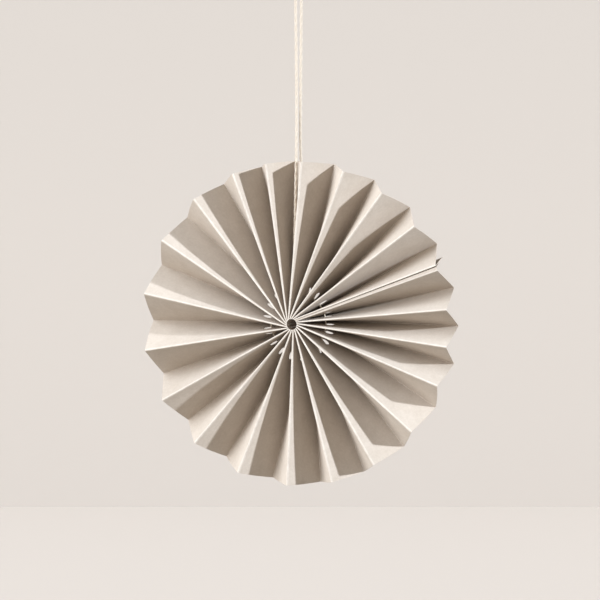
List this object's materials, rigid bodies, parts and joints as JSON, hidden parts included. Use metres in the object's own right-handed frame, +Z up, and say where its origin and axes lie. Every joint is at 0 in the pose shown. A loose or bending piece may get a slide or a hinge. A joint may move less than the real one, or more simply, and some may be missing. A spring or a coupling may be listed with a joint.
{
  "type": "paper fan rosette",
  "caption": "Round pleated paper fan rosette: a card strip closed into a disc by a string through punched holes, hung on a doubled loop of cotton twine.",
  "frame": {"origin": "where the loop of twine rests on its hook, straight above the hub's centre", "axes": "+Z up along the hanging loop, +Y along the fan's axis from its front to its back, +X to the right of someone who faces the front"},
  "size_m": [0.1522, 0.0194, 0.2406],
  "materials": {
    "card": "uncoated matte",
    "thread": "spun cotton thread",
    "twine": "two-ply cotton twine"
  },
  "bodies": {
    "root": {"pleated_card": "card", "tie_string": "thread", "hanging_cord": "twine", "cord_knot": "twine"}
  },
  "joints": []
}
